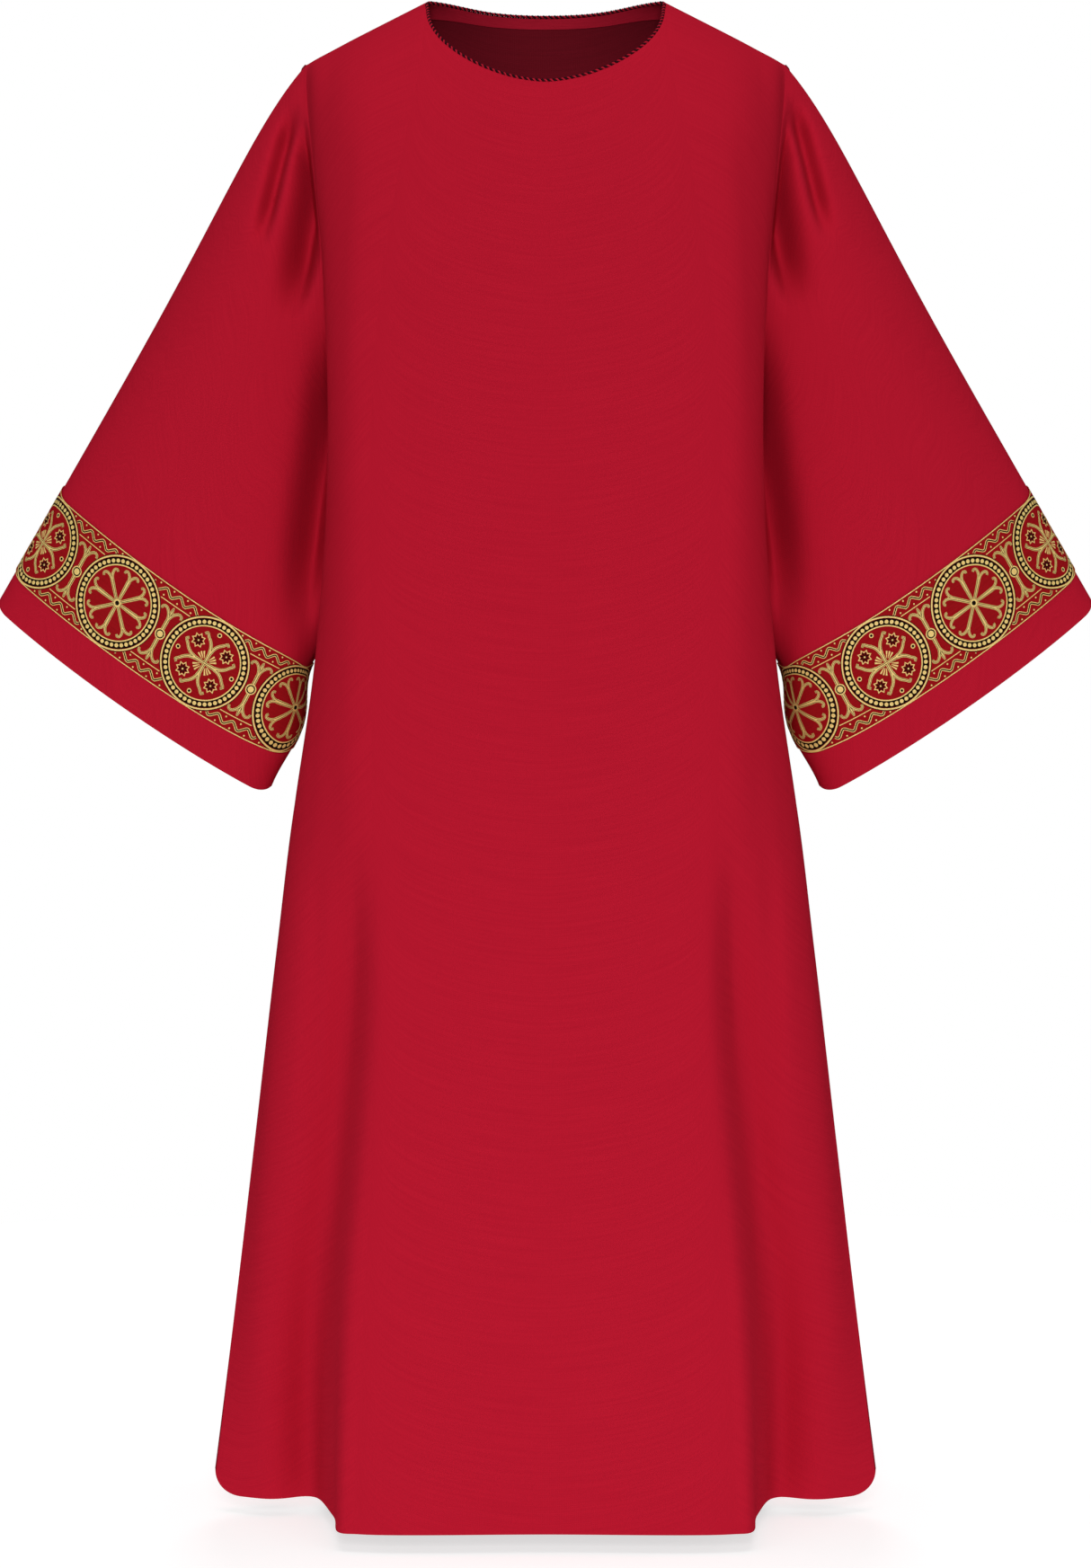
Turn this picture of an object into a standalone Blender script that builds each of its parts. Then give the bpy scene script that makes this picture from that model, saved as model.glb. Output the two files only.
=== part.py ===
"""Dalmatic: a wide-sleeved, A-line vestment, filled out as on a wearer, with nobody in it.

Metres, +Z up. The front faces -Y. The origin is midway between the two points where
the neck opening meets the shoulder seams, which is where a wearer carries it.
Every panel is a grid whose points come from one body surface and one sleeve surface,
thickened inwards. Trimmings are made from the same points, moved out.
"""
from collections import namedtuple

import bmesh
import bpy
import numpy as np

# Cloth
WALL = 0.0020
SEAM_GAP = 0.0003
LEAST_MITRE = 0.80

# Neck and shoulders
NECK_HALF = 0.1035
NECK_FRONT_DROP = 0.0845
NECK_BACK_RISE = -0.0015
NECK_CURVE_ACROSS = 1.64
NECK_CURVE_DOWN = 3.0
SHOULDER_HALF = 0.208
SHOULDER_DROP = 0.054

# Lengths below the neck point
ARMPIT_Z = -0.560
HEM_Z = -1.301
HEM_CORNER_RISE = 0.024
HEM_CORNER_FROM = 0.93

# How the shoulders roll over from their seam to the chest and the back
ROLL_FRONT_CENTRE = 0.300
ROLL_BACK_CENTRE = 0.220
ROLL_SHOULDER = 0.110
ROLL_ENDS = 0.75
ROLL_POWER = 0.62
NAPE_RISE = 0.040
BACK_SHARE = 0.92

# Sleeve
CUFF_TOP = (0.477, -0.524)
CUFF_BOTTOM = (0.242, -0.688)
CUFF_SAG = 0.005
CUFF_CORNER_RISE = 0.008
CUFF_CORNER_SHARE = 0.05
CUFF_FRONT_DROP = 0.004
CUFF_DEPTH = 0.036
CUFF_ROUNDNESS = 2.6
ARMHOLE_DEPTH = 0.058
ARMHOLE_ROUNDNESS = 3.0
ARMHOLE_TAPER = 0.30
ARMHOLE_TAPER_FROM = 0.3
ARMHOLE_TAPER_LONG = 0.5
SLEEVE_BULGE = 0.020
OVERARM_BULGE = 0.110
OVERARM_FADE = 6
UNDERARM_BULGE = 0.013
UNDERARM_TUCK = 0.023
UNDERARM_TUCK_AT = 0.75
UNDERARM_TUCK_HALF = 0.50
UNDERARM_FADE = 6

# Trimmings
GALLOON_WIDTH = 0.080
GALLOON_FROM_CUFF = 0.031
GALLOON_WALL = 0.0010
FACING_ROWS = 2
FACING_WALL = 0.0010
PIPING_RADIUS = 0.0015
PIPING_GAP = 0.0007
PIPING_CORNER_GAP = 0.0024
PIPING_RING_STEPS = 1

# Grid sizes
ROWS_TO_ARMPIT = 18
ROWS_TO_HEM = 9
ROWS_TO_GALLOON = 12
GALLOON_ROWS = 3
ROW_CROWDING = 0.5
SMOOTH_BELOW = 0.7

# Half a cross-section, from the centre out to the side seam, or to the armhole seam above the
# armpit: how far each point lies to the side, and how far in front of the side seam's plane.
# flat ends the flat front, edge is the front flute's edge, dip and turn the valley beside it,
# wing the side flute, seam the side seam. mid is where the side seam's plane lies.
Section = namedtuple(
    "Section",
    "z mid centre_d flat_x flat_d edge_x edge_d dip_x dip_d turn_x turn_d wing_x wing_d seam_x",
)
SECTIONS = [
    Section(-1.300, 0.020, 0.173, 0.155, 0.172, 0.173, 0.162, 0.180, 0.104, 0.203, 0.052, 0.247, 0.026, 0.292),
    Section(-1.150, 0.014, 0.161, 0.148, 0.160, 0.168, 0.152, 0.182, 0.112, 0.207, 0.072, 0.248, 0.042, 0.273),
    Section(-1.000, 0.008, 0.152, 0.140, 0.151, 0.161, 0.143, 0.180, 0.118, 0.206, 0.090, 0.240, 0.054, 0.255),
    Section(-0.820, 0.004, 0.147, 0.138, 0.146, 0.160, 0.138, 0.180, 0.121, 0.204, 0.098, 0.226, 0.060, 0.234),
    Section(-0.700, 0.001, 0.144, 0.139, 0.143, 0.160, 0.137, 0.177, 0.123, 0.197, 0.100, 0.213, 0.064, 0.219),
    Section(-0.560, 0.000, 0.142, 0.140, 0.141, 0.159, 0.135, 0.174, 0.120, 0.188, 0.095, 0.195, 0.068, 0.193),
    Section(-0.400, 0.000, 0.138, 0.141, 0.137, 0.160, 0.131, 0.173, 0.116, 0.183, 0.092, 0.185, 0.070, 0.182),
    Section(-0.250, 0.000, 0.133, 0.130, 0.132, 0.157, 0.124, 0.173, 0.108, 0.185, 0.088, 0.189, 0.070, 0.189),
    Section(-0.150, 0.000, 0.128, 0.112, 0.126, 0.148, 0.118, 0.168, 0.104, 0.185, 0.085, 0.195, 0.068, 0.199),
    Section(-0.060, 0.000, 0.124, 0.097, 0.122, 0.137, 0.114, 0.162, 0.100, 0.183, 0.082, 0.199, 0.066, 0.208),
    Section(0.000, 0.000, 0.122, 0.095, 0.120, 0.135, 0.112, 0.160, 0.098, 0.183, 0.080, 0.199, 0.064, 0.208),
]
# Where those seven points stand across a half panel, from 0 at the centre to 1 at the seam
KNOTS = np.array([0.0, 0.40, 0.52, 0.64, 0.76, 0.88, 1.0])
SHOULDER_LEVEL = -0.030

# Columns of a half panel: across the neck, as shares of its half width, then out to the seam
NECK_COLUMNS = np.array([0.0, 0.22, 0.42, 0.59, 0.73, 0.84, 0.92, 0.975, 1.0])
OUTER_COLUMNS = np.array([
    0.46, 0.50, 0.53, 0.57, 0.61, 0.66, 0.71, 0.77, 0.83, 0.89, 0.935, 0.972, 1.0,
])

# The creases that fall from the shoulder point, and the long one beside the armhole: where
# each starts and ends beside the centre,
# how wide it is and how deep. They spare the first part of the sleeve beside its seam, and
# leave a share of its depth.
CREASE_FREE = 0.06
MOST_PRESSED = 0.8
Crease = namedtuple("Crease", "start_x start_z end_x end_z width depth")
CREASES = [
    Crease(0.212, -0.080, 0.244, -0.215, 0.012, 0.016),
    Crease(0.200, -0.115, 0.221, -0.290, 0.016, 0.018),
    Crease(0.206, -0.230, 0.211, -0.550, 0.016, 0.010),
]

RED = (0.418, 0.0091, 0.0252, 1.0)
GALLOON_COLOUR = (0.36, 0.13, 0.035, 1.0)
PIPING_COLOUR = (0.05, 0.009, 0.012, 1.0)


def clear_scene():
    for obj in list(bpy.data.objects):
        bpy.data.objects.remove(obj)


def new_collection(name):
    made = bpy.data.collections.new(name)
    bpy.context.scene.collection.children.link(made)
    return made


def material(name, colour, roughness):
    made = bpy.data.materials.new(name)
    made.use_nodes = True
    shader = made.node_tree.nodes["Principled BSDF"]
    shader.inputs["Base Color"].default_value = colour
    shader.inputs["Roughness"].default_value = roughness
    shader.inputs["Metallic"].default_value = 0.0
    return made


def ease(x):
    """A smooth step from 0 to 1."""
    x = np.clip(x, 0.0, 1.0)
    return x * x * (3.0 - 2.0 * x)


def corner(x):
    """A quarter circle's rise: flat at 0, upright at 1."""
    return 1 - np.sqrt(1 - np.clip(x, 0, 1) ** 2)


def unit(v):
    return v / np.maximum(np.linalg.norm(v, axis=-1, keepdims=True), 1e-12)


def smooth(x, knots, values, slopes):
    """The cubic curve through values at knots with those slopes, read at x."""
    i = np.clip(np.searchsorted(knots, x, side="right") - 1, 0, len(knots) - 2)
    if values.ndim > 1:
        spot = np.ogrid[tuple(slice(n) for n in x.shape)]
        near, far = (i, *spot), (i + 1, *spot)
    else:
        near, far = i, i + 1
    wide = knots[i + 1] - knots[i]
    u = (x - knots[i]) / wide
    keep, turn = (1 + 2 * u) * (1 - u) ** 2, u * (1 - u) ** 2
    gain, brake = u * u * (3 - 2 * u), u * u * (1 - u)
    return (
        values[near] * keep
        + values[far] * gain
        + slopes[near] * wide * turn
        - slopes[far] * wide * brake
    )


def level(field, z):
    """One column of SECTIONS, read at any height."""
    heights = np.array([section.z for section in SECTIONS])
    values = np.array([getattr(section, field) for section in SECTIONS])
    slopes = np.gradient(values, heights)
    return smooth(np.clip(z, heights[0], heights[-1]), heights, values, slopes)


def across(s, values, starts_flat):
    """A half cross-section through one value a knot, read at s."""
    values = np.stack(values)
    slopes = np.gradient(values, KNOTS, axis=0)
    if starts_flat:
        slopes[0] = 0
    return smooth(s, KNOTS, values, slopes)


def section_x(s, z):
    """How far to the side a point at s stands at height z."""
    sides = [level(name + "_x", z) for name in ("flat", "edge", "dip", "turn", "wing", "seam")]
    return across(s, [np.zeros_like(z), *sides], starts_flat=False)


def armhole_depth(down):
    """Half the armhole's depth, from 0 at the shoulder point to 1 at the armpit."""
    lens = np.clip(1 - np.abs(2 * down - 1) ** ARMHOLE_ROUNDNESS, 0, 1)
    taper = 1 - ARMHOLE_TAPER * ease((down - ARMHOLE_TAPER_FROM) / ARMHOLE_TAPER_LONG)
    return ARMHOLE_DEPTH * lens ** (1 / ARMHOLE_ROUNDNESS) * taper


def section_depth(s, z):
    """How far in front of the side seam's plane a point at s stands at height z."""
    seam = armhole_depth(np.clip((z + SHOULDER_DROP) / (ARMPIT_Z + SHOULDER_DROP), 0, 1))
    depths = [level(name + "_d", z) for name in ("centre", "flat", "edge", "dip", "turn", "wing")]
    return across(s, [*depths, seam], starts_flat=True)


def crease_depth(x, z):
    """How far the cloth is pressed in by the creases under the shoulder point."""
    pressed = np.zeros_like(x)
    for crease in CREASES:
        right, up = crease.end_x - crease.start_x, crease.end_z - crease.start_z
        long = np.hypot(right, up)
        run = ((x - crease.start_x) * right + (z - crease.start_z) * up) / long**2
        off = ((x - crease.start_x) * up - (z - crease.start_z) * right) / long
        fade = np.clip(1 - (2 * run - 1) ** 2, 0, 1)
        pressed += crease.depth * fade * np.exp(-((off / crease.width) ** 2))
    return pressed


def neck_column():
    """Where the neck point stands between the centre and the seam."""
    s = np.linspace(0, 1, 401)
    return float(np.interp(NECK_HALF, section_x(s, np.full_like(s, SHOULDER_LEVEL)), s))


def top_edge(s, neck_s, front):
    """The height of a panel's top edge: the neck curve, then the straight shoulder seam."""
    share = np.clip(s / neck_s, 0, 1)
    curve = np.clip(1 - share**NECK_CURVE_ACROSS, 0, 1) ** (1 / NECK_CURVE_DOWN)
    neck = -NECK_FRONT_DROP * curve if front else NECK_BACK_RISE * ease(2 * (1 - share))
    x = section_x(s, np.full_like(s, SHOULDER_LEVEL))
    shoulder = -SHOULDER_DROP * np.clip((x - NECK_HALF) / (SHOULDER_HALF - NECK_HALF), 0, 1)
    return np.where(s < neck_s, neck, shoulder)


def body_point(side, s, z, neck_s, front):
    """A point of the body's surface: side is -1 or 1, s runs from the centre to the seam."""
    share = np.clip(s / neck_s, 0, 1)
    ridge = np.where(s < neck_s, 0.0, top_edge(s, neck_s, front))
    if not front:
        ridge = ridge + NAPE_RISE * (1 - share**2) ** 2
    centre = ROLL_FRONT_CENTRE if front else ROLL_BACK_CENTRE
    reach = ROLL_SHOULDER + (centre - ROLL_SHOULDER) * (1 - ease(s / ROLL_ENDS))
    fall = np.clip((ridge - z) / reach, 0, 1)
    depth = section_depth(s, z) * (1 - (1 - fall) ** 2) ** ROLL_POWER
    x = section_x(s, z)
    mid = level("mid", z)
    y = mid - depth if front else mid + depth * BACK_SHARE
    return np.stack([side * x, y, z], axis=-1)


def body_grid(neck_s, front):
    """The panel's outer points: rows from its top edge to its hem, columns from side to side."""
    half = np.concatenate([NECK_COLUMNS * neck_s, OUTER_COLUMNS])
    s = np.concatenate([half[:0:-1], half])
    side = np.concatenate([-np.ones(len(half) - 1), np.ones(len(half))])
    hem = HEM_Z + HEM_CORNER_RISE * corner((s - HEM_CORNER_FROM) / (1 - HEM_CORNER_FROM))
    top = top_edge(s, neck_s, front)
    armpit = (-SHOULDER_DROP - ARMPIT_Z) / (-SHOULDER_DROP - (HEM_Z + HEM_CORNER_RISE))
    upper = armpit * (1 - np.cos(np.linspace(0, np.pi, ROWS_TO_ARMPIT + 1))) / 2
    lower = np.linspace(armpit, 1, ROWS_TO_HEM + 1)[1:]
    down = np.concatenate([upper, lower])[:, None]
    z = top + (hem - top) * down
    return body_point(side, np.broadcast_to(s, z.shape), z, neck_s, front)


def armhole_loop(front, back, edge):
    """The seam points at one edge column: down the front to the armpit and up the back."""
    return np.concatenate([front[: ROWS_TO_ARMPIT + 1, edge], back[ROWS_TO_ARMPIT - 1 :: -1, edge]])


def cuff_loop(down, facing):
    """The cuff's edge, from its corner over the arm, at 0, to its corner under the arm, at 1."""
    top, bottom = np.array(CUFF_TOP), np.array(CUFF_BOTTOM)
    arm = unit(top - [SHOULDER_HALF, -SHOULDER_DROP])
    lens = np.clip(1 - np.abs(2 * down - 1) ** CUFF_ROUNDNESS, 0, 1) ** (1 / CUFF_ROUNDNESS)
    edge = top + (bottom - top) * down[:, None]
    sag = CUFF_SAG * np.sin(np.pi * down)
    nearest = np.minimum(down, 1 - down)
    rise = CUFF_CORNER_RISE * corner(1 - nearest / CUFF_CORNER_SHARE)
    edge = edge + arm * (sag - rise + CUFF_FRONT_DROP * facing * lens)[:, None]
    return np.stack([edge[:, 0], -facing * CUFF_DEPTH * lens, edge[:, 1]], axis=-1)


def sleeve_grid(armhole):
    """The left sleeve's outer points: rows from the armhole to the cuff, columns round the arm.

    The last rows stand at fixed distances from the cuff, so that the galloon's edges are rows.
    """
    half = (len(armhole) - 1) // 2
    facing = np.where(np.arange(len(armhole)) <= half, 1.0, -1.0)
    down = (armhole[:, 2] - armhole[0, 2]) / (armhole[half, 2] - armhole[0, 2])
    cuff = cuff_loop(down, facing)
    length = np.linalg.norm(cuff - armhole, axis=-1)
    band_top = 1 - (GALLOON_FROM_CUFF + GALLOON_WIDTH) / length
    crowding = 1 + ROW_CROWDING * (1 - down)
    upper = np.linspace(0, 1, ROWS_TO_GALLOON + 1)[:, None] ** crowding * band_top
    band = np.linspace(GALLOON_WIDTH, 0, GALLOON_ROWS + 1)[1:, None] + GALLOON_FROM_CUFF
    share = np.concatenate([upper, 1 - band / length, np.ones((1, len(length)))])
    points = armhole * (1 - share[..., None]) + cuff * share[..., None]
    hump = np.sqrt(np.clip(4 * down * (1 - down), 0, 1)) * facing
    points[..., 1] -= SLEEVE_BULGE * np.sin(np.pi * share) * hump
    arm = unit(np.array(CUFF_TOP) - [SHOULDER_HALF, -SHOULDER_DROP])
    out = OVERARM_BULGE * share * (1 - share) ** OVERARM_FADE * (1 - down) ** 2
    out = out + UNDERARM_BULGE * 4 * share * (1 - share) * down**UNDERARM_FADE
    tuck = np.exp(-(((share - UNDERARM_TUCK_AT) / UNDERARM_TUCK_HALF) ** 2)) * np.sin(np.pi * share)
    points[..., 0] -= UNDERARM_TUCK * tuck * down**UNDERARM_FADE
    points[..., 0] -= arm[1] * out
    points[..., 2] += arm[0] * out
    pressed = crease_depth(points[..., 0], points[..., 2]) * ease(share / CREASE_FREE)
    y = points[..., 1]
    points[..., 1] -= np.sign(y) * np.minimum(pressed, MOST_PRESSED * np.abs(y))
    return points


def normals_of(grid, wraps=False):
    """Unit normals of a grid, from its neighbours' differences."""
    if wraps:
        closed = np.concatenate([grid[:, -2:-1], grid, grid[:, 1:2]], axis=1)
        sideways = (closed[:, 2:] - closed[:, :-2]) / 2
    else:
        sideways = np.gradient(grid, axis=1)
    return unit(np.cross(np.gradient(grid, axis=0), sideways))


def mitre(a, b):
    """The way into both walls at a seam, long enough to keep their thickness."""
    between = unit(a + b)
    square = np.sum(between * a, axis=-1, keepdims=True)
    return between / np.clip(square, LEAST_MITRE, 1)


def draw_back(grid, edge, inner, share=0.5):
    """Moves the points at edge a share of the seam gap towards those at inner."""
    grid[edge] += SEAM_GAP * share * unit(grid[inner] - grid[edge])


def placed(name, data, finish):
    data.materials.append(finish)
    obj = bpy.data.objects.new(name, data)
    dalmatic.objects.link(obj)
    return obj


def wall(name, outer, inner, finish, wraps=False):
    """One closed solid: a grid laid on the outer points and extruded to the inner ones."""
    rows, columns = outer.shape[:2]
    outer, inner = outer.reshape(-1, 3), inner.reshape(-1, 3)
    bm = bmesh.new()
    bmesh.ops.create_grid(bm, x_segments=columns - 1, y_segments=rows - 1, size=1.0)
    place = bm.verts.layers.int.new("place")
    for index, vert in enumerate(bm.verts):
        vert.co = outer[index]
        vert[place] = index
    if wraps:
        bmesh.ops.remove_doubles(bm, verts=bm.verts, dist=1e-6)
    made = bmesh.ops.extrude_face_region(bm, geom=bm.faces[:], use_keep_orig=True)
    for part in made["geom"]:
        if isinstance(part, bmesh.types.BMVert):
            part.co = inner[part[place]]
    bmesh.ops.recalc_face_normals(bm, faces=bm.faces)
    mesh = bpy.data.meshes.new(name)
    bm.to_mesh(mesh)
    bm.free()
    mesh.shade_smooth()
    mesh.set_sharp_from_angle(angle=SMOOTH_BELOW)
    return placed(name, mesh, finish)


def facing_strip(back, back_lean, neck_left, neck_right, finish):
    """The strip inside the back neck, on the back panel's inner points, moved in."""
    span = np.s_[: FACING_ROWS + 1, neck_left + 1 : neck_right]
    outer = back[span] - back_lean[span] * (WALL + SEAM_GAP)
    return wall("neck_facing", outer, outer - back_lean[span] * FACING_WALL, finish)


def piping_ring(panels, leans, neck_left, neck_right, finish):
    """The cord that lies along the whole neck edge, just clear of it."""
    runs = (np.s_[0, neck_left : neck_right + 1], np.s_[0, neck_right - 1 : neck_left : -1])
    edge = np.concatenate([panel[run] for panel, run in zip(panels, runs)])
    lean = np.concatenate([lean[run] for lean, run in zip(leans, runs)])
    along = unit(np.roll(edge, -1, axis=0) - np.roll(edge, 1, axis=0))
    up = unit(np.cross(lean, along))
    curve = bpy.data.curves.new("neck_piping", "CURVE")
    curve.dimensions = "3D"
    curve.bevel_depth = PIPING_RADIUS
    curve.bevel_resolution = PIPING_RING_STEPS
    spline = curve.splines.new("POLY")
    spline.points.add(len(edge) - 1)
    clear = np.full((len(edge), 1), PIPING_GAP)
    clear[[0, neck_right - neck_left]] = PIPING_CORNER_GAP
    centres = edge - lean * WALL / 2 + up * (PIPING_RADIUS + clear)
    for point, centre in zip(spline.points, centres):
        point.co = (*centre, 1.0)
    spline.use_cyclic_u = True
    return placed("neck_piping", curve, finish)


def main():
    cloth = material("cloth", RED, 0.85)
    woven_band = material("woven_band", GALLOON_COLOUR, 0.6)
    facing_tape = material("facing_tape", RED, 0.85)
    edging_cord = material("edging_cord", PIPING_COLOUR, 0.7)

    neck_s = neck_column()
    front, back = body_grid(neck_s, front=True), body_grid(neck_s, front=False)
    front_lean, back_lean = normals_of(front), -normals_of(back)
    middle = front.shape[1] // 2
    neck_left = middle - (len(NECK_COLUMNS) - 1)
    neck_right = middle + (len(NECK_COLUMNS) - 1)

    # The walls of both panels lean the same way at the shoulder seams and the side seams.
    shoulders = [np.s_[0, : neck_left + 1], np.s_[0, neck_right:]]
    sides = [np.s_[ROWS_TO_ARMPIT:, 0], np.s_[ROWS_TO_ARMPIT:, -1]]
    for seam in shoulders + sides:
        shared = mitre(front_lean[seam], back_lean[seam])
        front_lean[seam] = back_lean[seam] = shared

    # Each sleeve starts on the armhole's points and leans as they do.
    sleeves = {}
    for name, edge, side in (("sleeve_left", -1, 1), ("sleeve_right", 0, -1)):
        flip = np.array([side, 1, 1])
        sleeve = sleeve_grid(armhole_loop(front, back, edge) * flip) * flip
        lean = -side * normals_of(sleeve, wraps=True)
        shared = mitre(unit(armhole_loop(front_lean, back_lean, edge)), lean[0])
        lean[0] = shared
        front_lean[: ROWS_TO_ARMPIT + 1, edge] = shared[: ROWS_TO_ARMPIT + 1]
        back_lean[: ROWS_TO_ARMPIT + 1, edge] = shared[: ROWS_TO_ARMPIT - 1 : -1]
        sleeves[name] = (sleeve, lean)

    # The gap at every seam
    for panel in (front, back):
        draw_back(panel, np.s_[0, : neck_left + 1], np.s_[1, : neck_left + 1])
        draw_back(panel, np.s_[0, neck_right:], np.s_[1, neck_right:])
        draw_back(panel, np.s_[:, 0], np.s_[:, 1])
        draw_back(panel, np.s_[:, -1], np.s_[:, -2])
    for sleeve, _ in sleeves.values():
        draw_back(sleeve, np.s_[0], np.s_[1], share=1.0)

    wall("front", front, front - WALL * front_lean, cloth)
    wall("back", back, back - WALL * back_lean, cloth)
    for name, (sleeve, lean) in sleeves.items():
        wall(name, sleeve, sleeve - WALL * lean, cloth, wraps=True)
        rows = slice(ROWS_TO_GALLOON, ROWS_TO_GALLOON + GALLOON_ROWS + 1)
        inner = sleeve[rows] + SEAM_GAP * lean[rows]
        band = name.replace("sleeve", "galloon")
        wall(band, inner + GALLOON_WALL * lean[rows], inner, woven_band, wraps=True)
    facing_strip(back, back_lean, neck_left, neck_right, facing_tape)
    piping_ring((front, back), (front_lean, back_lean), neck_left, neck_right, edging_cord)


clear_scene()
dalmatic = new_collection("dalmatic")
main()
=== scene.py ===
# %% [markdown]
# # A red dalmatic, filled out as on a wearer
#
# A dalmatic is a wide-sleeved liturgical vestment. Its body is two A-line panels joined at the
# shoulders and sides, and each sleeve is a tube set on at the armhole. A woven galloon is sewn
# round each sleeve above the cuff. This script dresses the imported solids: thin cloth with soft
# folds, the galloons with their gold pattern, the tape inside the neck and the cord round it.
#
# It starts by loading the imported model, which is the frame that every piece has to fit.

# %% Load the frame
import math
from collections import namedtuple

import bpy
import numpy as np
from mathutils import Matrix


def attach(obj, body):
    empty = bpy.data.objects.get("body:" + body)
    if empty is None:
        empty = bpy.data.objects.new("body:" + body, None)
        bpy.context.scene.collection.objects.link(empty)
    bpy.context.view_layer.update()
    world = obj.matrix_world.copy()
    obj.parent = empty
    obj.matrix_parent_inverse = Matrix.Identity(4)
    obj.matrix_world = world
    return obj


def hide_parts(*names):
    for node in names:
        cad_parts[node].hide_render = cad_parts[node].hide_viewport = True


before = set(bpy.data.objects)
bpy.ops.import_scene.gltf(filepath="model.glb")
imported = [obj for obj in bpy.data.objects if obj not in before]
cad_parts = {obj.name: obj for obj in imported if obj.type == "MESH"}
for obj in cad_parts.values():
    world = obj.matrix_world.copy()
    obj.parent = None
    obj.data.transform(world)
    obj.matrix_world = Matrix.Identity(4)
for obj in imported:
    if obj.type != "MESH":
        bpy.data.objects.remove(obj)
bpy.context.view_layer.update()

# %% [markdown]
# ## The camera
#
# The photo looks straight at the front, level with the middle of the garment. Placing the
# camera first fixes what has to be fine and what may stay plain. Its distance sets how much
# lower the near hem hangs in the picture than the side seams, which is how it was found.

# %% Camera
CAMERA_DISTANCE = 3.1
CAMERA_HEIGHT = -0.680
FRAME_HEIGHT = 1.3646
SENSOR = 36.0
FAR = 60.0

camera_data = bpy.data.cameras.new("camera")
camera_data.sensor_width = SENSOR
camera_data.lens = SENSOR * CAMERA_DISTANCE / FRAME_HEIGHT
camera_data.clip_end = FAR
camera = bpy.data.objects.new("camera", camera_data)
camera.location = (0.0, -CAMERA_DISTANCE, CAMERA_HEIGHT)
camera.rotation_euler = (math.pi / 2, 0.0, 0.0)
bpy.context.scene.collection.objects.link(camera)
bpy.context.scene.camera = camera
print("lens", round(camera_data.lens, 2), "mm")

# %% [markdown]
# ## The garment's own surface
#
# Cloth that hangs from the shoulders makes one continuous surface, so the panels are read from
# one function of two numbers: s runs from the centre line out to the side seam, and z is the
# height. The sizes repeat those of the solids, in metres, so that the cloth lies on them. Each
# row of SECTIONS, in millimetres, is half a cross-section: flat front, flute's edge, the valley
# beside it, side flute and seam.

# %% Sizes and sections
NECK_HALF = 0.1035
NECK_FRONT_DROP = 0.0845
NECK_BACK_RISE = -0.0015
NECK_CURVE_ACROSS = 1.64
NECK_CURVE_DOWN = 3.0
SHOULDER_HALF = 0.208
SHOULDER_DROP = 0.054
ARMPIT_Z = -0.560
HEM_Z = -1.301
HEM_CORNER_RISE = 0.024
HEM_CORNER_FROM = 0.93
ROLL_FRONT_CENTRE = 0.300
ROLL_BACK_CENTRE = 0.220
ROLL_SHOULDER = 0.110
ROLL_ENDS = 0.75
ROLL_POWER = 0.62
NAPE_RISE = 0.040
BACK_SHARE = 0.92
CUFF_TOP = (0.477, -0.524)
CUFF_BOTTOM = (0.242, -0.688)
CUFF_SAG = 0.005
CUFF_CORNER_RISE = 0.008
CUFF_CORNER_SHARE = 0.05
CUFF_FRONT_DROP = 0.004
CUFF_DEPTH = 0.036
CUFF_ROUNDNESS = 2.6
ARMHOLE_DEPTH = 0.058
ARMHOLE_ROUNDNESS = 3.0
ARMHOLE_TAPER = 0.30
ARMHOLE_TAPER_FROM = 0.3
ARMHOLE_TAPER_LONG = 0.5
SLEEVE_BULGE = 0.020
OVERARM_BULGE = 0.110
OVERARM_FADE = 6
UNDERARM_BULGE = 0.013
UNDERARM_TUCK = 0.023
UNDERARM_TUCK_AT = 0.75
UNDERARM_TUCK_HALF = 0.50
UNDERARM_FADE = 6
GALLOON_WIDTH = 0.080
GALLOON_FROM_CUFF = 0.031
ROW_CROWDING = 0.5
LEAST_MITRE = 0.80
SHOULDER_LEVEL = -0.030

FIELDS = "z mid centre_d flat_x flat_d edge_x edge_d dip_x dip_d turn_x turn_d wing_x wing_d seam_x"
SECTIONS = np.array([
    [-1300, 20, 173, 155, 172, 173, 162, 180, 104, 203, 52, 247, 26, 292],
    [-1150, 14, 161, 148, 160, 168, 152, 182, 112, 207, 72, 248, 42, 273],
    [-1000, 8, 152, 140, 151, 161, 143, 180, 118, 206, 90, 240, 54, 255],
    [-820, 4, 147, 138, 146, 160, 138, 180, 121, 204, 98, 226, 60, 234],
    [-700, 1, 144, 139, 143, 160, 137, 177, 123, 197, 100, 213, 64, 219],
    [-560, 0, 142, 140, 141, 159, 135, 174, 120, 188, 95, 195, 68, 193],
    [-400, 0, 138, 141, 137, 160, 131, 173, 116, 183, 92, 185, 70, 182],
    [-250, 0, 133, 130, 132, 157, 124, 173, 108, 185, 88, 189, 70, 189],
    [-150, 0, 128, 112, 126, 148, 118, 168, 104, 185, 85, 195, 68, 199],
    [-60, 0, 124, 97, 122, 137, 114, 162, 100, 183, 82, 199, 66, 208],
    [0, 0, 122, 95, 120, 135, 112, 160, 98, 183, 80, 199, 64, 208],
]) / 1000
COLUMN = dict(zip(FIELDS.split(), SECTIONS.T))
KNOTS = np.array([0.0, 0.40, 0.52, 0.64, 0.76, 0.88, 1.0])

# %% The body's surface


def ease(x):
    """A smooth step: 3x squared less 2x cubed, held at 0 and 1 outside."""
    x = np.clip(x, 0.0, 1.0)
    return x * x * (3.0 - 2.0 * x)


def corner(x):
    """A quarter circle's rise: flat at 0, upright at 1."""
    return 1 - np.sqrt(1 - np.clip(x, 0, 1) ** 2)


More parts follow.
